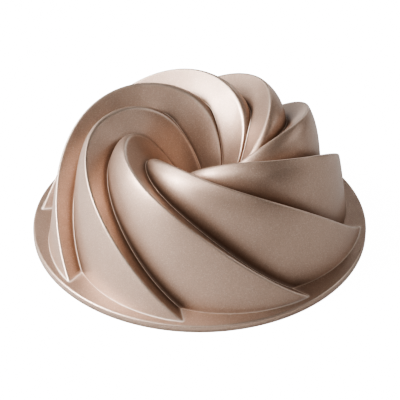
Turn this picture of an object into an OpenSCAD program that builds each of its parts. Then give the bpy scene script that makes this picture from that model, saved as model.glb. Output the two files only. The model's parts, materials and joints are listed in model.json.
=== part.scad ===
// Swirl bundt pan, shown as it rests when empty: flange down, crown up.
//
// The pan is one aluminium casting with a coat on each side. Its flutes run in one
// unbroken sweep from the flange, up the wall, over the crown and down into the
// centre tube. Each flute has a sharp-edged crest. On one side of the crest a steep
// face drops to the valley. On the other side a broad face climbs from the valley
// before it.
//
// Frame: origin at the centre of the flange's resting face, +Z up through the tube.

/* [Pan] */
// Outer diameter of the flange
flange_d = 260; // [220:1:300]
// Height from the resting face to the top of the crown
pan_h = 96; // [85:1:110]
// Wall thickness of the casting
wall = 3; // [2.5:0.1:3.5]

/* [Flange] */
// Height of the flange's edge
flange_h = 5.5; // [4.5:0.1:6.5]
// Radius on the upper edge of the flange
flange_edge_r = 1.6; // [0.8:0.1:2]

/* [Flutes] */
// Number of flutes around the pan
flutes = 8; // [7:1:9]
// Direction of the first flute's foot around the axis, in degrees
first_foot = -5; // [-45:1:45]
// Width of the flat worn along each crest
crest_flat = 1.6; // [1:0.1:2.4]
// How full the broad faces are; 0 is straight from valley to crest
fullness = 0.5; // [0.2:0.05:0.6]

/* [Centre tube] */
// Radius of the open bore in the end of the tube
bore_r = 13; // [11:0.5:15]
// Height of the tube's lower end above the resting face
tube_end_z = 2; // [1.5:0.5:3]

/* [Coats] */
// Thickness of the outer and inner coats
coat = 0.05; // [0.04:0.01:0.1]

/* [Hidden] */

metal_color = [0.80, 0.80, 0.81];
exterior_color = [0.78, 0.67, 0.60];
lining_color = [0.36, 0.31, 0.28];

flange_r = flange_d / 2;
pitch = 360 / flutes;

round_fn = 180;

// The fluted faces close in to this much less than the bore, which then cuts them
bore_overlap = 0.6;

// A path is two cubic curves that join at the crown. Each control point is
// [share of the flange radius, degrees past the foot, share of the pan's height].
foot_h = flange_h / pan_h;
valley_h = 0.82;
tube_share = (bore_r - bore_overlap) / flange_r;
tube_h = 0.12;
crest_path = [
    [0.965, 0, foot_h],
    [0.858, -22, 0.37],
    [0.824, -44, 1],
    [0.537, -90, 1],
    [0.337, -122, 1],
    [0.275, -160, 0.71],
    [tube_share, -190, tube_h]
];
valley_path = [
    [0.855, -2, foot_h],
    [0.742, -29, 0.44],
    [0.692, -40, valley_h],
    [0.433, -84, valley_h],
    [0.304, -106, valley_h],
    [0.321, -96, 0.73],
    [tube_share, -154, tube_h]
];

// Stations along a flute: 0 is its foot on the flange, 1 the crown, 2 the tube. The
// outer coat stops one station short, so the edge of the bore is bare metal.
steps = 19;
coat_end = 1.985;
coated_stations = [for (i = [0:steps - 1]) 2 * i / steps, coat_end];
stations = [each coated_stations, 2];

// Station inside the flange where the batter space meets the resting face
mouth_station = -0.05;

// Small step for measuring directions along a path or across a face
nudge = 0.02;

// Strips across the steep face and across the broad face
steep_strips = 3;
broad_strips = 5;
columns = steep_strips + broad_strips + 1;

// Facets around the flange's rounded edge
edge_steps = 3;

function bezier(p, t) =
    p[0] * (1 - t)^3 + p[1] * 3 * t * (1 - t)^2 + p[2] * 3 * t^2 * (1 - t) + p[3] * t^3;

function on_path(path, s) =
    s < 1
        ? bezier([path[0], path[1], path[2], path[3]], s)
        : bezier([path[3], path[4], path[5], path[6]], s - 1);

// A polar point is [radius, angle, height] in millimetres and degrees
function place(path, s) =
    let (p = on_path(path, s))
    [p[0] * flange_r, p[1] + first_foot, p[2] * pan_h];

function xyz(p) = [p[0] * cos(p[1]), p[0] * sin(p[1]), p[2]];

// Polar form of p, with its angle within half a turn of near
function polar(p, near) =
    let (a = atan2(p[1], p[0]))
    [norm([p[0], p[1]]), a + 360 * round((near - a) / 360), p[2]];

function unit(v) = v / norm(v);

// One pitch further round, for a polar point
turn = [0, pitch, 0];

// Share of the way from valley to crest, eased so that the face swells outward
function swell(w) = (1 + fullness) * w - fullness * w^2;

// Points on the steep face below crest c and on the broad face above valley v
function steep_pt(c, v, w) = c + (v - c) * w;
function broad_pt(v, c, w) =
    [v[0] + (c[0] - v[0]) * swell(w), v[1] + (c[1] - v[1]) * w, v[2] + (c[2] - v[2]) * swell(w)];

// Move that takes a corner out by one, square to the two faces beside it. Each face
// passes through the corner line; before and after are the directions into the faces
// that lie clockwise and anticlockwise of it.
function mitre(along, before, after) =
    let (
        n1 = unit(cross(along, before)),
        n2 = unit(cross(after, along))
    )
    (n1 + n2) / (1 + n1 * n2);

function direction(path, s) = xyz(place(path, s + nudge)) - xyz(place(path, s - nudge));

// Crest at station s of the skin that lies d outside the control paths
function crest_at(s, d) =
    let (
        c = place(crest_path, s),
        v = place(valley_path, s),
        broad_side = xyz(broad_pt(v - turn, c, 1 - nudge)) - xyz(c),
        steep_side = xyz(steep_pt(c, v, nudge)) - xyz(c)
    )
    polar(xyz(c) + d * mitre(direction(crest_path, s), broad_side, steep_side), c[1]);

// Valley at station s of the same skin
function valley_at(s, d) =
    let (
        c = place(crest_path, s),
        v = place(valley_path, s),
        steep_side = xyz(steep_pt(c, v, 1 - nudge)) - xyz(v),
        broad_side = xyz(broad_pt(v, c + turn, nudge)) - xyz(v)
    )
    polar(xyz(v) + d * mitre(direction(valley_path, s), steep_side, broad_side), v[1]);

// Share of a face's width that the flat on the crest takes
function flat_share(width) = min(0.4, crest_flat / 2 / width);

// One flute's cross-section: down the steep face, then up the broad face
function section(s, d) =
    let (
        c = crest_at(s, d),
        v = valley_at(s, d),
        a = flat_share(norm(xyz(c) - xyz(v))),
        b = flat_share(norm(xyz(c + turn) - xyz(v)))
    )
    [
        for (j = [0:steep_strips - 1]) xyz(steep_pt(c, v, a + (1 - a) * j / steep_strips)),
        for (j = [0:broad_strips]) xyz(broad_pt(v, c + turn, (1 - b) * j / broad_strips))
    ];

function turned(p, a) = [p[0] * cos(a) - p[1] * sin(a), p[0] * sin(a) + p[1] * cos(a), p[2]];

// One closed ring of points at station s, all the way round the pan
function ring(s, d) =
    let (one = section(s, d))
    [for (k = [0:flutes - 1], p = one) turned(p, pitch * k)];

function at_height(points, z) = [for (p = points) [p[0], p[1], z]];

function at_radius(points, r) =
    [for (p = points) let (k = r / norm([p[0], p[1]])) [p[0] * k, p[1] * k, p[2]]];

// A round ring with as many points as the fluted rings have
function round_ring(r, z) =
    let (n = columns * flutes)
    [for (j = [0:n - 1])
        let (a = first_foot + 360 * j / n)
        [r * cos(a), r * sin(a), z]];

// Flange from its lower outer corner to the flutes' foot, moved outward by d
function flange_rings(low_z, d) =
    let (r = flange_edge_r + d)
    [
        round_ring(flange_r + d, low_z),
        for (i = [0:edge_steps])
            let (a = 90 * i / edge_steps)
            round_ring(
                flange_r - flange_edge_r + r * cos(a),
                flange_h - flange_edge_r + r * sin(a)
            ),
        at_height(ring(0, d), flange_h + d)
    ];

// Outer face from the flange's lower corner to the end of the coat
function coated(low_z, d) = [
    each flange_rings(low_z, d),
    for (s = coated_stations) if (s > 0) ring(s, d)
];

// Whole outer face, down to the tube's cut end
function outside(low_z, d) =
    let (last = ring(2, d))
    [
        each coated(low_z, d),
        last,
        at_height(at_radius(last, bore_r - bore_overlap - d), tube_end_z)
    ];

// Whole face of the batter space, from its mouth to the tube's cut end
function inside(mouth_z, d) = [
    at_height(ring(mouth_station, d), mouth_z),
    for (s = stations) ring(s, d),
    at_height(ring(2, d), tube_end_z)
];

function backward(rows) = [for (i = [len(rows) - 1:-1:0]) rows[i]];

// Closed solid between two faces that are given as rings in the same order. Both
// faces are cut into triangles the same way, so thin layers keep their thickness.
module shell(front, back) {
    rows = [each front, each backward(back)];
    n = len(rows[0]);
    count = len(rows);
    polyhedron(
        points = [for (row = rows, p = row) p],
        faces = [
            for (i = [0:count - 1], j = [0:n - 1])
                let (
                    a = i * n + j,
                    b = i * n + (j + 1) % n,
                    c = (i + 1) % count * n + (j + 1) % n,
                    e = (i + 1) % count * n + j
                )
                each i < len(front) ? [[a, e, b], [b, e, c]] : [[a, e, c], [a, c, b]]
        ],
        convexity = 8
    );
}

// Die-cast aluminium body: flange, fluted wall, crown and centre tube in one piece,
// with the tube's bore machined through it
module cast_body() {
    color(metal_color)
    difference() {
        shell(outside(coat, -coat), inside(coat, -wall));
        cylinder(h = pan_h / 2, r = bore_r, $fn = round_fn);
    }
}

// Metallic release coat on everything outside, down to the bore's edge
module exterior_coat() {
    color(exterior_color)
    shell(coated(0, 0), coated(0, -coat));
}

// Non-stick coat on everything that the batter touches, and on the flange's face
module nonstick_lining() {
    edge = flange_r - coat;
    color(lining_color)
    shell(
        [round_ring(edge, coat), each inside(coat, -wall)],
        [round_ring(edge, 0), each inside(0, -wall - coat)]
    );
}

cast_body();
exterior_coat();
nonstick_lining();
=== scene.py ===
"""Swirl bundt pan: fine meshes and finishes for the cast body, its outer coat and its lining.

The pan stands upside down on its flange. Every skin is made by one rule: two control
paths, a crest and a valley, sweep from the flange over the crown into the centre tube,
and a steep face and a broad face join them. Lengths are in metres, angles in degrees.
A cylindrical point is (radius, angle, height). A ring is an array of points once round
the pan, and a skin is a list of rings from its outer edge to the tube.
"""

import json
import math

import bpy
import numpy as np
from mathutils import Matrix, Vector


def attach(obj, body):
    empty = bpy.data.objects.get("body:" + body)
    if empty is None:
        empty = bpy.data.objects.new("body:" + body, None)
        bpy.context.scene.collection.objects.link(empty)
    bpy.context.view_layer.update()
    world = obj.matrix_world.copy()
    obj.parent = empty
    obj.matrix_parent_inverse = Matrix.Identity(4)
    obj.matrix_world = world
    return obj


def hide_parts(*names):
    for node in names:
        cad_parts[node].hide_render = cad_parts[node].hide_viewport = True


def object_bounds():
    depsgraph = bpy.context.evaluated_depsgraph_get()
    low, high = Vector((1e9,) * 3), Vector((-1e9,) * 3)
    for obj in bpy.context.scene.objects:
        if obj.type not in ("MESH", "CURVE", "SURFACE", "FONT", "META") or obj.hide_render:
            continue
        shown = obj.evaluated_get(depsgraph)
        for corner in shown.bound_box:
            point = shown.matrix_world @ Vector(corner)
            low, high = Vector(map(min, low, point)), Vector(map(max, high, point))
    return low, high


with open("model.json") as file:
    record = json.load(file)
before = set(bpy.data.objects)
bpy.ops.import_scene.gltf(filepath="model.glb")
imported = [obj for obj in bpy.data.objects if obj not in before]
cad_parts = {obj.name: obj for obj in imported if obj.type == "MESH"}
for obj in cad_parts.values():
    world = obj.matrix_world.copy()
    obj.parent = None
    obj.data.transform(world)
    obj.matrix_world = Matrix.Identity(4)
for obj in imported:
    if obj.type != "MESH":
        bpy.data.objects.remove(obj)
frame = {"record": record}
cad_low, cad_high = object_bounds()
mounts = {mount["name"]: mount for mount in frame["record"]["mounts"]}

MM = 0.001

# Pan, measured from the frame
CREST_LOSS = 0.50 * MM  # how far the rounded crest stands below its control path
FLANGE_R = (cad_high.x - cad_low.x) / 2
PAN_H = cad_high.z + CREST_LOSS
BORE_R = mounts["tube_bore"]["dims"]["r_mm"] * MM

# Casting and coats
FLANGE_H = 5.5 * MM
FLANGE_EDGE_R = 1.6 * MM
WALL = 3.0 * MM
COAT = 0.05 * MM
TUBE_END_Z = 2.0 * MM
TUBE_CHAMFER = 0.5 * MM
MOUTH_EDGE_R = 0.8 * MM

# How far each rounding reaches down the two faces beside it
CREST_BLEND = 2.5 * MM
VALLEY_BLEND = 1.0 * MM
INNER_BLEND = 1.6 * MM
FOOT_BLEND = 1.1 * MM

# Largest share of a face that each rounding may take
CREST_CAP = 0.4
VALLEY_CAP = 0.3
FOOT_CAP = 0.35

# Flutes
FLUTES = 8
PITCH = 360 / FLUTES
FIRST_FOOT = -5.0
FULLNESS = 0.5  # how full the broad faces are; 0 is straight from valley to crest
NUDGE = 0.02  # small step for measuring directions across a face

# Control points: share of the flange's radius, degrees past the foot, share of the height.
# Apart from the tube's end, a least-squares program fitted them to the crests and valleys
# in the photo, along with FIRST_FOOT; here they are only rounded.
FOOT = FLANGE_H / PAN_H
TUBE = BORE_R / FLANGE_R
VALLEY_TOP = 0.82
TUBE_TOP = 0.12
CREST_PATH = (
    (0.965, 0, FOOT),
    (0.858, -22, 0.37),
    (0.824, -44, 1),
    (0.537, -90, 1),
    (0.337, -122, 1),
    (0.275, -160, 0.71),
    (TUBE, -190, TUBE_TOP),
)
VALLEY_PATH = (
    (0.855, -2, FOOT),
    (0.742, -29, 0.44),
    (0.692, -40, VALLEY_TOP),
    (0.433, -84, VALLEY_TOP),
    (0.304, -106, VALLEY_TOP),
    (0.321, -96, 0.73),
    (TUBE, -154, TUBE_TOP),
)
COAT_END = 1.985  # station where the outer coat stops, just above the bore's edge

# Mesh density
ROWS = 120
CREST_COLUMNS = 8
STEEP_COLUMNS = 9
VALLEY_COLUMNS = 8
BROAD_COLUMNS = 20
EDGE_STEPS = 8
ARC_STEPS = 4
FLANGE_SHARES = (0.95, 0.7, 0.4, 0.15)  # rings between the flutes' foot and the flange's edge
FLANGE_RINGS = 1 + (EDGE_STEPS + 1) + len(FLANGE_SHARES) + (ARC_STEPS + 1)

# Columns of a flute's section where its crest and its valley lie
CREST_LINE = 0
VALLEY_LINE = CREST_COLUMNS // 2 + STEEP_COLUMNS + VALLEY_COLUMNS // 2

# How wide the marks in the coat run along crests and valleys: rubbed wear with a painted highlight
# on the crests, pooled coat with a painted highlight in the valleys
RUBBED_HIGHLIGHT_WIDTH = 1.3 * MM
POOLED_HIGHLIGHT_WIDTH = 0.5 * MM
RIM_SHARPNESS = 8  # how closely the rubbed line, a painted highlight, keeps to the middle of the flange's edge

# How far the painted shade runs up each face from the valley, as a share of the distance
# round from one valley to the next
SHADE_STEEP = 0.05
SHADE_BROAD = 0.14


def bezier(points, t):
    a, b, c, d = np.array(points, float)
    t = t[:, None]
    return a * (1 - t) ** 3 + 3 * b * t * (1 - t) ** 2 + 3 * c * t**2 * (1 - t) + d * t**3


def on_path(path, s):
    """Cylindrical points at stations s: 0 is the foot, 1 the crown, 2 the tube."""
    outer = bezier(path[:4], s)
    inner = bezier(path[3:], s - 1)
    share = np.where(s[:, None] < 1, outer, inner)
    return share * (FLANGE_R, 1, PAN_H) + (0, FIRST_FOOT, 0)


def xyz(p):
    a = np.radians(p[..., 1])
    return np.stack([p[..., 0] * np.cos(a), p[..., 0] * np.sin(a), p[..., 2]], -1)


def polar(p, near):
    """Cylindrical form of Cartesian points, with each angle within half a turn of near."""
    angle = np.degrees(np.arctan2(p[:, 1], p[:, 0]))
    angle += 360 * np.round((near - angle) / 360)
    return np.stack([np.hypot(p[:, 0], p[:, 1]), angle, p[:, 2]], -1)


def unit(v):
    return v / np.linalg.norm(v, axis=-1, keepdims=True)


def turned(points, degrees):
    a = math.radians(degrees)
    c, s = math.cos(a), math.sin(a)
    return points @ np.array([[c, s, 0], [-s, c, 0], [0, 0, 1]])


def steep(crest, valley, w):
    """Cylindrical point on the steep face, w of the way from crest to valley."""
    return crest + (valley - crest) * np.reshape(w, (-1, 1))


def broad(valley, crest, w):
    """Cylindrical point on the broad face, w of the way from valley to crest."""
    w = np.reshape(w, (-1, 1))
    swell = (1 + FULLNESS) * w - FULLNESS * w**2
    return valley + (crest - valley) * np.hstack([swell, w, swell])


def mitre(along, before, after):
    """Move that takes a corner line out by one, square to the two faces beside it.

    Before and after are the directions into the faces that lie clockwise and anticlockwise.
    """
    n1 = unit(np.cross(along, before))
    n2 = unit(np.cross(after, along))
    return (n1 + n2) / (1 + np.sum(n1 * n2, -1, keepdims=True))


def shifted_paths(s, d):
    """Crest and valley, as cylindrical points, of the skin d outside the control paths."""
    crest, valley = on_path(CREST_PATH, s), on_path(VALLEY_PATH, s)
    turn = (0, PITCH, 0)
    c, v = xyz(crest), xyz(valley)
    c_along, v_along = np.gradient(c, axis=0), np.gradient(v, axis=0)
    broad_high = xyz(broad(valley - turn, crest, 1 - NUDGE))
    steep_high = xyz(steep(crest, valley, NUDGE))
    steep_low = xyz(steep(crest, valley, 1 - NUDGE))
    broad_low = xyz(broad(valley, crest + turn, NUDGE))
    crest_move = mitre(c_along, broad_high - c, steep_high - c)
    valley_move = mitre(v_along, steep_low - v, broad_low - v)
    return polar(c + d * crest_move, crest[:, 1]), polar(v + d * valley_move, valley[:, 1])


def arc(a, corner, b, t):
    """Point t of the way round a rounded corner."""
    return a * (1 - t) ** 2 + corner * 2 * t * (1 - t) + b * t**2


def section(s, d, crest_blend, valley_blend):
    """Points of one flute, a row for each station in s, from one crest's top to the next."""
    crest, valley = shifted_paths(s, d)
    next_crest = crest + (0, PITCH, 0)
    c, v, n = xyz(crest), xyz(valley), xyz(next_crest)
    steep_width = np.linalg.norm(c - v, axis=1)
    broad_width = np.linalg.norm(n - v, axis=1)
    steep_in = np.minimum(CREST_CAP, crest_blend / steep_width)
    steep_out = 1 - np.minimum(VALLEY_CAP, valley_blend / steep_width)
    # The swell spreads the broad face's points out near the valley and gathers them near the crest
    broad_in = np.minimum(VALLEY_CAP, valley_blend / broad_width / (1 + FULLNESS))
    broad_out = 1 - np.minimum(CREST_CAP, crest_blend / broad_width / (1 - FULLNESS / 2))
    crest_start = turned(xyz(broad(valley, next_crest, broad_out)), -PITCH)
    crest_end = xyz(steep(crest, valley, steep_in))
    valley_start = xyz(steep(crest, valley, steep_out))
    valley_end = xyz(broad(valley, next_crest, broad_in))
    half = CREST_COLUMNS // 2
    columns = [arc(crest_start, c, crest_end, 0.5 + 0.5 * i / half) for i in range(half)]
    for i in range(STEEP_COLUMNS):
        w = steep_in + (steep_out - steep_in) * i / STEEP_COLUMNS
        columns.append(xyz(steep(crest, valley, w)))
    for i in range(VALLEY_COLUMNS):
        columns.append(arc(valley_start, v, valley_end, i / VALLEY_COLUMNS))
    for i in range(BROAD_COLUMNS):
        w = broad_in + (broad_out - broad_in) * i / BROAD_COLUMNS
        columns.append(xyz(broad(valley, next_crest, w)))
    for i in range(half):
        columns.append(turned(arc(crest_start, c, crest_end, 0.5 * i / half), PITCH))
    return np.stack(columns, 1)


def fluted_rings(d, crest_blend, valley_blend):
    """Rings all the way round, one for each station from the foot to the tube."""
    s = np.append(np.linspace(0, COAT_END, ROWS), 2.0)
    flute = section(s, d, crest_blend, valley_blend)
    return list(np.concatenate([turned(flute, PITCH * k) for k in range(FLUTES)], 1))


def circle(count, r, z):
    a = np.radians(FIRST_FOOT) + np.arange(count) * 2 * math.pi / count
    return np.stack([r * np.cos(a), r * np.sin(a), np.full(count, z)], -1)


def at_height(ring, z):
    return np.column_stack([ring[:, :2], np.full(len(ring), z)])


def at_radius(ring, r):
    scale = r / np.hypot(ring[:, 0], ring[:, 1])
    return np.column_stack([ring[:, :2] * scale[:, None], ring[:, 2]])


def flange_rings(low_z, d, foot, rising):
    """Flange from its lower corner to the rounding at the flutes' foot.

    Foot is the line where the flutes meet the flange, and rising is the ring above it.
    """
    count = len(foot)
    centre_r, centre_z = FLANGE_R - FLANGE_EDGE_R, FLANGE_H - FLANGE_EDGE_R
    r = FLANGE_EDGE_R + d
    rings = [circle(count, FLANGE_R + d, low_z)]
    for i in range(EDGE_STEPS + 1):
        a = math.pi / 2 * i / EDGE_STEPS
        rings.append(circle(count, centre_r + r * math.cos(a), centre_z + r * math.sin(a)))
    across = rings[-1] - foot
    reach = np.minimum(FOOT_BLEND / np.linalg.norm(across, axis=1, keepdims=True), FOOT_CAP)
    for share in FLANGE_SHARES:
        rings.append(foot + across * (reach + (1 - reach) * share))
    top = foot + unit(rising - foot) * FOOT_BLEND
    for i in range(ARC_STEPS + 1):
        rings.append(arc(foot + across * reach, foot, top, i / ARC_STEPS))
    return rings


def coated(low_z, d):
    """Outer skin from the flange's lower corner to the end of the coat."""
    fluted = fluted_rings(d, CREST_BLEND, VALLEY_BLEND)
    foot = at_height(fluted[0], FLANGE_H + d)
    return flange_rings(low_z, d, foot, fluted[1]) + fluted[1:-1]


def outside(low_z, d):
    """Whole outer skin, with the bore and the chamfer at the tube's cut end."""
    last = at_radius(fluted_rings(d, CREST_BLEND, VALLEY_BLEND)[-1], BORE_R)
    return coated(low_z, d) + [
        last,
        at_height(last, TUBE_END_Z + TUBE_CHAMFER),
        at_radius(at_height(last, TUBE_END_Z), BORE_R + TUBE_CHAMFER),
    ]


def inside(mouth_z, d):
    """Skin of the batter space, from the flange's face to the tube's cut end."""
    fluted = fluted_rings(d, INNER_BLEND, INNER_BLEND)
    slope = (fluted[1] - fluted[0]) / (fluted[1] - fluted[0])[:, 2:]
    mouth = fluted[0] + slope * (mouth_z - fluted[0][:, 2:])
    face = at_radius(mouth, np.hypot(mouth[:, 0], mouth[:, 1]) + MOUTH_EDGE_R)
    wall = mouth + unit(slope) * MOUTH_EDGE_R
    rounded = [arc(face, mouth, wall, i / ARC_STEPS) for i in range(ARC_STEPS + 1)]
    return rounded + fluted + [at_height(fluted[-1], TUBE_END_Z)]


def nearness(ring, column, reach):
    """1 along the line of points at this column of every flute, falling off over reach."""
    flutes = ring.reshape(FLUTES, -1, 3)
    line = flutes[:, column : column + 1]
    gap = np.linalg.norm(flutes - line, axis=-1)
    gap_ahead = np.linalg.norm(flutes - np.roll(line, -1, 0), axis=-1)
    return np.exp(-((np.minimum(gap, gap_ahead) / reach) ** 2)).ravel()


def depth(ring):
    """Painted shade: 1 along the valley, falling off quickly up the steep face and slowly up the
    broad face.
    """
    flutes = ring.reshape(FLUTES, -1, 3)
    line = flutes[:, VALLEY_LINE : VALLEY_LINE + 1]
    gap = np.linalg.norm(flutes - line, axis=-1)
    around = math.radians(PITCH) * math.hypot(ring[VALLEY_LINE, 0], ring[VALLEY_LINE, 1])
    on_steep = np.arange(flutes.shape[1]) < VALLEY_LINE
    reach = np.where(on_steep, SHADE_STEEP, SHADE_BROAD) * around
    return np.exp(-((gap / reach) ** 2)).ravel()


def coat_marks(rings):
    """Where the coat is rubbed and where it has pooled, each lightened into a painted highlight,
    and where shade is painted into the valleys.

    Each mark is a list of levels from 0 to 1, an array for each ring.
    """
    fluted = rings[FLANGE_RINGS:]
    rubbed_highlight_rim, pooled_highlight_foot = np.zeros(FLANGE_RINGS), np.zeros(FLANGE_RINGS)
    edge = np.linspace(0, math.pi, EDGE_STEPS + 1)
    rubbed_highlight_rim[1 : EDGE_STEPS + 2] = np.sin(edge) ** RIM_SHARPNESS
    foot_arc = (np.arange(ARC_STEPS + 1) + 0.5) / (ARC_STEPS + 1)
    pooled_highlight_foot[-ARC_STEPS - 1 :] = np.sin(math.pi * foot_arc)
    whole_ring = np.ones(len(rings[0]))
    return {
        # rubbed crests and rim, lightened into a painted highlight
        "rubbed_highlight": [level * whole_ring for level in rubbed_highlight_rim]
        + [nearness(ring, CREST_LINE, RUBBED_HIGHLIGHT_WIDTH) for ring in fluted],
        # pooled coat in valleys and at the foot, lightened into a painted highlight
        "pooled_highlight": [level * whole_ring for level in pooled_highlight_foot]
        + [nearness(ring, VALLEY_LINE, POOLED_HIGHLIGHT_WIDTH) for ring in fluted],
        # painted shade in the valleys
        "valley_shade": [0 * whole_ring] * FLANGE_RINGS + [depth(ring) for ring in fluted],
    }


def shell(name, front, back, marks=None):
    """Closed mesh between two skins that run the same way."""
    rows = front + back[::-1]
    count, n = len(rows), len(rows[0])
    i, j = np.meshgrid(np.arange(count), np.arange(n), indexing="ij")
    up, side = (i + 1) % count, (j + 1) % n
    quads = np.stack([i * n + j, i * n + side, up * n + side, up * n + j], -1).reshape(-1, 4)
    mesh = bpy.data.meshes.new(name)
    mesh.vertices.add(count * n)
    mesh.vertices.foreach_set("co", np.concatenate(rows).astype(np.float32).ravel())
    mesh.loops.add(quads.size)
    mesh.loops.foreach_set("vertex_index", quads.astype(np.int32).ravel())
    mesh.polygons.add(len(quads))
    mesh.polygons.foreach_set("loop_start", np.arange(0, quads.size, 4, dtype=np.int32))
    mesh.update(calc_edges=True)
    mesh.shade_smooth()
    for mark, levels in (marks or {}).items():
        layer = mesh.attributes.new(mark, "FLOAT", "POINT")
        values = np.zeros(count * n, np.float32)
        values[: len(levels) * n] = np.concatenate(levels)
        layer.data.foreach_set("value", values)
    piece = bpy.data.objects.new(name, mesh)
    bpy.context.scene.collection.objects.link(piece)
    return piece


class Finish:
    """A material's node tree, with short calls for the nodes that the finishes share."""

    def __init__(self, name):
        self.material = bpy.data.materials.new(name)
        self.material.use_nodes = True
        self.nodes = self.material.node_tree.nodes
        self.link = self.material.node_tree.links.new
        self.bsdf = self.nodes["Principled BSDF"]
        self.coordinates = self.nodes.new("ShaderNodeTexCoord").outputs["Object"]

    def give(self, socket, value):
        """Puts a plain value into an input, or links an output to it."""
        if isinstance(value, bpy.types.NodeSocket):
            self.link(value, socket)
        else:
            socket.default_value = value

    def set(self, **inputs):
        for name, value in inputs.items():
            self.give(self.bsdf.inputs[name.replace("_", " ")], value)

    def noise(self, size, detail=2.0, roughness=0.5):
        """Cloudy pattern from 0 to 1 whose main features are size metres across."""
        node = self.nodes.new("ShaderNodeTexNoise")
        node.inputs["Scale"].default_value = 1 / size
        node.inputs["Detail"].default_value = detail
        node.inputs["Roughness"].default_value = roughness
        self.link(self.coordinates, node.inputs["Vector"])
        return node.outputs["Fac"]

    def patches(self, size, detail, roughness=0.5, low=0.0, high=1.0, edge=0.3):
        """Noise stretched to run from low to high; a larger edge makes harder patches."""
        return self.remap(self.noise(size, detail, roughness), edge, 1 - edge, low, high)

    def flakes(self, size):
        """Random level from 0 to 1 for each flake, size metres across."""
        node = self.nodes.new("ShaderNodeTexVoronoi")
        node.inputs["Scale"].default_value = 1 / size
        self.link(self.coordinates, node.inputs["Vector"])
        split = self.nodes.new("ShaderNodeSeparateColor")
        self.link(node.outputs["Color"], split.inputs["Color"])
        return split.outputs["Red"]

    def attribute(self, name):
        node = self.nodes.new("ShaderNodeAttribute")
        node.attribute_name = name
        return node.outputs["Fac"]

    def remap(self, value, low, high, out_low=0.0, out_high=1.0):
        node = self.nodes.new("ShaderNodeMapRange")
        names = ("Value", "From Min", "From Max", "To Min", "To Max")
        for name, number in zip(names, (value, low, high, out_low, out_high)):
            self.give(node.inputs[name], number)
        return node.outputs["Result"]

    def math(self, operation, a, b):
        node = self.nodes.new("ShaderNodeMath")
        node.operation = operation
        self.give(node.inputs[0], a)
        self.give(node.inputs[1], b)
        return node.outputs["Value"]

    def tint(self, colour, mark, strength, other):
        """Colour drawn towards another where a mark is 1; colours are sockets or (r, g, b, 1)."""
        node = self.nodes.new("ShaderNodeMix")
        node.data_type = "RGBA"
        self.link(self.math("MULTIPLY", mark, strength), node.inputs["Factor"])
        start, end = node.inputs[6], node.inputs[7]
        self.give(start, colour)
        self.give(end, other)
        return node.outputs[2]

    def bump(self, height, depth, normal=None, strength=None):
        """Normal of a surface whose relief is depth metres from lowest to highest."""
        node = self.nodes.new("ShaderNodeBump")
        node.inputs["Distance"].default_value = depth
        for name, socket in (("Height", height), ("Normal", normal), ("Strength", strength)):
            if socket:
                self.link(socket, node.inputs[name])
        return node.outputs["Normal"]


# Linear colours of the champagne coat
CHAMPAGNE = (0.624, 0.459, 0.368, 1)
CHAMPAGNE_PALE = (0.668, 0.494, 0.398, 1)
CHAMPAGNE_GRAIN = (0.44, 0.32, 0.25, 1)
CHAMPAGNE_FLAKE = (0.86, 0.76, 0.68, 1)
# Painted shade for the valleys
VALLEY_SHADE_TONE = (0.21, 0.112, 0.07, 1)
# Rubbed wear lightened into a painted highlight on crests and rim
RUBBED_HIGHLIGHT_TONE = (0.90, 0.76, 0.66, 1)
# Painted highlight where the coat pools in the valleys and at the foot
POOLED_HIGHLIGHT_TONE = (1.0, 0.87, 0.78, 1)


def champagne():
    """Satin metallic release coat: pebbled, flecked with flake, rubbed along the crests, with
    painted highlights on crests, rim, valleys and foot and painted shade in the valleys.
    """
    f = Finish("champagne_finish")
    rubbed_highlight, pooled_highlight, valley_shade = f.attribute("rubbed_highlight"), f.attribute("pooled_highlight"), f.attribute("valley_shade")
    rubbed_highlight = f.math("MULTIPLY", rubbed_highlight, f.patches(2.5 * MM, 3, 0.7, low=0.6))
    flake = f.flakes(0.45 * MM)

    colour = f.tint(CHAMPAGNE, f.patches(38 * MM, 3), 1.0, CHAMPAGNE_PALE)
    colour = f.tint(colour, f.patches(0.9 * MM, 2, 0.6, edge=0.35), 0.32, CHAMPAGNE_GRAIN)
    colour = f.tint(colour, f.remap(flake, 0.8, 1.0), 0.4, CHAMPAGNE_FLAKE)
    # Painted shade in the valleys
    colour = f.tint(colour, valley_shade, 0.75, VALLEY_SHADE_TONE)
    # Painted highlight along the rubbed crests and rim
    colour = f.tint(colour, rubbed_highlight, 0.6, RUBBED_HIGHLIGHT_TONE)
    # Painted highlight where the coat pools in valleys and at the foot; the next line also makes
    # it less metallic so it reads brighter
    colour = f.tint(colour, pooled_highlight, 0.9, POOLED_HIGHLIGHT_TONE)
    f.set(Base_Color=colour, Metallic=f.remap(pooled_highlight, 0, 1, 0.7, 0.35))

    satin = f.patches(14 * MM, 4, 0.6, low=0.44, high=0.52)
    f.set(Roughness=f.math("SUBTRACT", satin, f.math("MULTIPLY", rubbed_highlight, 0.12)))
    # Less coat where the shade is painted, so the painted shade stays deep brown
    f.set(Coat_Weight=f.remap(valley_shade, 0, 1, 0.4, 0.1), Coat_Roughness=0.22)

    relief = f.math("SUBTRACT", 1.0, pooled_highlight)
    pebble = f.bump(f.noise(0.8 * MM, 2, 0.55), 0.05 * MM, strength=relief)
    f.set(Normal=f.bump(flake, 0.012 * MM, pebble, relief))
    return f.material


# Linear colours of the machined aluminium
ALUMINIUM = (0.80, 0.80, 0.81, 1)
ALUMINIUM_DULL = (0.62, 0.61, 0.60, 1)


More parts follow.
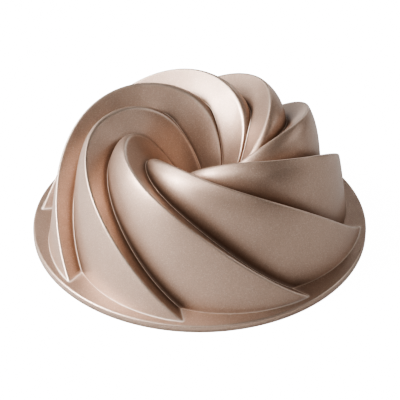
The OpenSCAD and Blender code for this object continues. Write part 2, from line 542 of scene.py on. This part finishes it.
def bare_metal():
    """Machined aluminium: turned rings round the bore, dulled in patches."""
    f = Finish("machined_metal")
    rings = f.nodes.new("ShaderNodeTexWave")
    rings.bands_direction = "Z"
    rings.inputs["Scale"].default_value = 1 / (2.4 * MM)
    rings.inputs["Distortion"].default_value = 0.4
    f.link(f.coordinates, rings.inputs["Vector"])
    dull = f.patches(5 * MM, 4, 0.6, edge=0.35)
    f.set(Base_Color=f.tint(ALUMINIUM, dull, 1.0, ALUMINIUM_DULL), Metallic=1.0)
    f.set(Roughness=f.remap(dull, 0, 1, 0.28, 0.46))
    f.set(Normal=f.bump(rings.outputs["Fac"], 0.02 * MM))
    return f.material


# Linear colours of the non-stick coat
BRONZE = (0.125, 0.095, 0.075, 1)
BRONZE_PALE = (0.165, 0.127, 0.102, 1)
PALE_FLECK = (0.42, 0.34, 0.28, 1)
DARK_FLECK = (0.03, 0.024, 0.02, 1)


def nonstick():
    """Dark bronze non-stick coat: fine orange peel with pale and dark flecks."""
    f = Finish("nonstick_finish")
    fleck = f.flakes(0.6 * MM)
    colour = f.tint(BRONZE, f.patches(30 * MM, 3), 1.0, BRONZE_PALE)
    colour = f.tint(colour, f.remap(fleck, 0.93, 1.0), 0.6, PALE_FLECK)
    colour = f.tint(colour, f.remap(fleck, 0.06, 0.0), 0.5, DARK_FLECK)
    f.set(Base_Color=colour, Metallic=0.25, Coat_Weight=0.25, Coat_Roughness=0.18)
    f.set(Roughness=f.patches(12 * MM, 4, 0.6, low=0.34, high=0.46))
    f.set(Normal=f.bump(f.noise(1.1 * MM, 2, 0.5), 0.03 * MM))
    return f.material


def place(piece, material, node):
    """Gives a piece its finish and puts it in the place of its CAD node."""
    piece.data.materials.append(material)
    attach(piece, "root")
    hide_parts(node)


def build_coat():
    skin = coated(0, 0)
    piece = shell("exterior_coat_skin", skin, coated(0, -COAT), coat_marks(skin))
    place(piece, champagne(), "exterior_coat")


def build_body():
    piece = shell("cast_body_metal", outside(COAT, -COAT), inside(COAT, -WALL))
    place(piece, bare_metal(), "cast_body")


def build_lining():
    against_metal, open_side = inside(COAT, -WALL), inside(0, -WALL - COAT)
    count, edge = len(open_side[0]), FLANGE_R - COAT
    front = [circle(count, edge, COAT)] + against_metal
    back = [circle(count, edge, 0)] + open_side
    place(shell("nonstick_lining_skin", front, back), nonstick(), "nonstick_lining")


# Floor: a pale sweep that is open when looked at from below
FLOOR_SIZE = 6.0
FLOOR_GAP = 0.2 * MM  # keeps the floor clear of the flange's resting face
FLOOR_GREY = (0.42, 0.42, 0.42, 1)
FLOOR_PALE = (0.46, 0.46, 0.46, 1)
FLOOR_GLOW = 3.0  # evens the floor out to a near-white sweep for the camera
FLOOR_SPILL = 0.24  # light that the sweep throws up onto the pan


def build_floor():
    mesh = bpy.data.meshes.new("floor")
    s = FLOOR_SIZE / 2
    mesh.from_pydata([(-s, -s, 0), (s, -s, 0), (s, s, 0), (-s, s, 0)], [], [(0, 1, 2, 3)])
    floor = bpy.data.objects.new("floor", mesh)
    floor.location.z = -FLOOR_GAP
    bpy.context.scene.collection.objects.link(floor)
    f = Finish("studio_floor")
    f.set(Base_Color=f.tint(FLOOR_GREY, f.patches(0.4, 2), 1.0, FLOOR_PALE), Roughness=0.8)
    seen = f.nodes.new("ShaderNodeLightPath").outputs["Is Camera Ray"]
    f.set(Emission_Color=(1, 1, 1, 1))
    f.set(Emission_Strength=f.remap(seen, 0, 1, FLOOR_SPILL, FLOOR_GLOW))
    one_way = f.nodes.new("ShaderNodeMixShader")
    below = f.nodes.new("ShaderNodeNewGeometry").outputs["Backfacing"]
    clear = f.nodes.new("ShaderNodeBsdfTransparent").outputs["BSDF"]
    for socket, value in zip(one_way.inputs, (below, f.bsdf.outputs["BSDF"], clear)):
        f.link(value, socket)
    f.link(one_way.outputs["Shader"], f.nodes["Material Output"].inputs["Surface"])
    mesh.materials.append(f.material)


# Camera: distance and elevation about its aim point; lens and sensor in millimetres.
# All but the sensor come from the same fit as the control points.
CAMERA_DISTANCE = 1.1216
CAMERA_ELEVATION = 35.77
CAMERA_AIM = (0.0003, 0.0, 0.0227)
CAMERA_LENS = 130.0
CAMERA_SENSOR = 36.0


def build_camera():
    data = bpy.data.cameras.new("camera")
    data.sensor_width = CAMERA_SENSOR
    data.lens = CAMERA_LENS
    camera = bpy.data.objects.new("camera", data)
    e = math.radians(CAMERA_ELEVATION)
    x, y, z = CAMERA_AIM
    camera.location = (x, y - CAMERA_DISTANCE * math.cos(e), z + CAMERA_DISTANCE * math.sin(e))
    camera.rotation_euler = (math.pi / 2 - e, 0, 0)
    bpy.context.scene.collection.objects.link(camera)
    bpy.context.scene.camera = camera


# Softboxes: name, degrees round from the camera, degrees up, power in watts. A program
# picked the places from a grid and fitted the powers, and FLOOR_SPILL, to the photo's tones.
LIGHT_DISTANCE = 1.6
LIGHT_DIAMETER = 0.85
SOFTBOXES = (
    ("key", -75, 28, 20.5),
    ("key_over", -108, 50, 8.5),
    ("key_low", -60, 8, 3.0),
    ("front_over", -36, 50, 3.0),
    ("front_fill", 15, 28, 1.3),
    ("right_fill", 75, 28, 0.7),
    ("right_low", 90, 8, 0.9),
    ("right_behind", 105, 28, 1.8),
    ("back_low", 150, 8, 1.1),
    ("back", 165, 28, 1.4),
    ("left_behind", -135, 28, 1.5),
)
WORLD_STRENGTH = 0.01  # faint fill from all round

# A disk light on the floor, hidden under the pan, that shows the batter space
UNDER_PAN_DIAMETER = 0.256
UNDER_PAN_POWER = 0.19


def disk_light(name, diameter, power, location, rotation):
    data = bpy.data.lights.new(name, "AREA")
    data.shape = "DISK"
    data.size = diameter
    data.energy = power
    lamp = bpy.data.objects.new(name, data)
    lamp.location = location
    lamp.rotation_euler = rotation
    bpy.context.scene.collection.objects.link(lamp)


def softbox(name, azimuth, elevation, power):
    a, e = math.radians(azimuth), math.radians(elevation)
    away = np.array([math.sin(a) * math.cos(e), -math.cos(a) * math.cos(e), math.sin(e)])
    location = away * LIGHT_DISTANCE + (0, 0, PAN_H / 2)
    disk_light(name, LIGHT_DIAMETER, power, location, (math.pi / 2 - e, 0, a))


def build_world():
    world = bpy.data.worlds.new("studio")
    world.use_nodes = True
    nodes, link = world.node_tree.nodes, world.node_tree.links.new
    seen = nodes.new("ShaderNodeMapRange")
    seen.inputs["To Min"].default_value = WORLD_STRENGTH
    seen.inputs["To Max"].default_value = FLOOR_GLOW
    link(nodes.new("ShaderNodeLightPath").outputs["Is Camera Ray"], seen.inputs["Value"])
    background = nodes["Background"]
    background.inputs["Color"].default_value = (1, 1, 1, 1)
    link(seen.outputs["Result"], background.inputs["Strength"])
    bpy.context.scene.world = world


def build_light():
    build_world()
    for box in SOFTBOXES:
        softbox(*box)
    under = (0, 0, -FLOOR_GAP / 2)
    disk_light("under_pan", UNDER_PAN_DIAMETER, UNDER_PAN_POWER, under, (math.pi, 0, 0))
    view = bpy.context.scene.view_settings
    view.view_transform = "AgX"
    view.look = "AgX - Very High Contrast"


build_coat()
build_body()
build_lining()
build_floor()
build_camera()
build_light()
